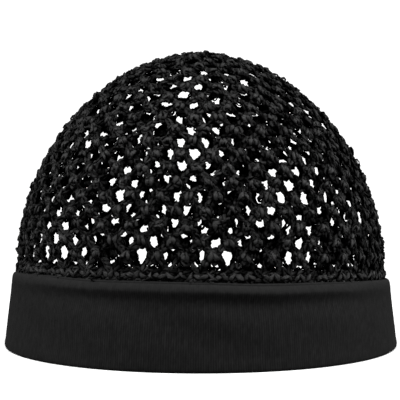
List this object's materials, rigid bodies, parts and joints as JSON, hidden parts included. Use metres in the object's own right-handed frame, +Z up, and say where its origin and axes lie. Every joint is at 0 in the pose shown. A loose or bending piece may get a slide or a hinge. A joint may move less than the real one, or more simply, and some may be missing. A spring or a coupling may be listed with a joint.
{
  "type": "mesh hair cap",
  "caption": "Open-work crocheted net cap on a plain folded jersey band, stretched over the hair and worn round the head.",
  "frame": {"origin": "centre of the band's fold, on the surface that the cap rests on", "axes": "+Z up through the crown, -Y towards the brow, +X from ear to ear towards the wearer's left"},
  "size_m": [0.2, 0.17, 0.15],
  "materials": {
    "net_yarn": "crumpled flat tape yarn with a low satin gloss, crocheted into an open net",
    "band_jersey": "matt fine-ribbed jersey, folded double"
  },
  "bodies": {
    "root": {"crown_net": "net_yarn", "band": "band_jersey"}
  },
  "joints": []
}
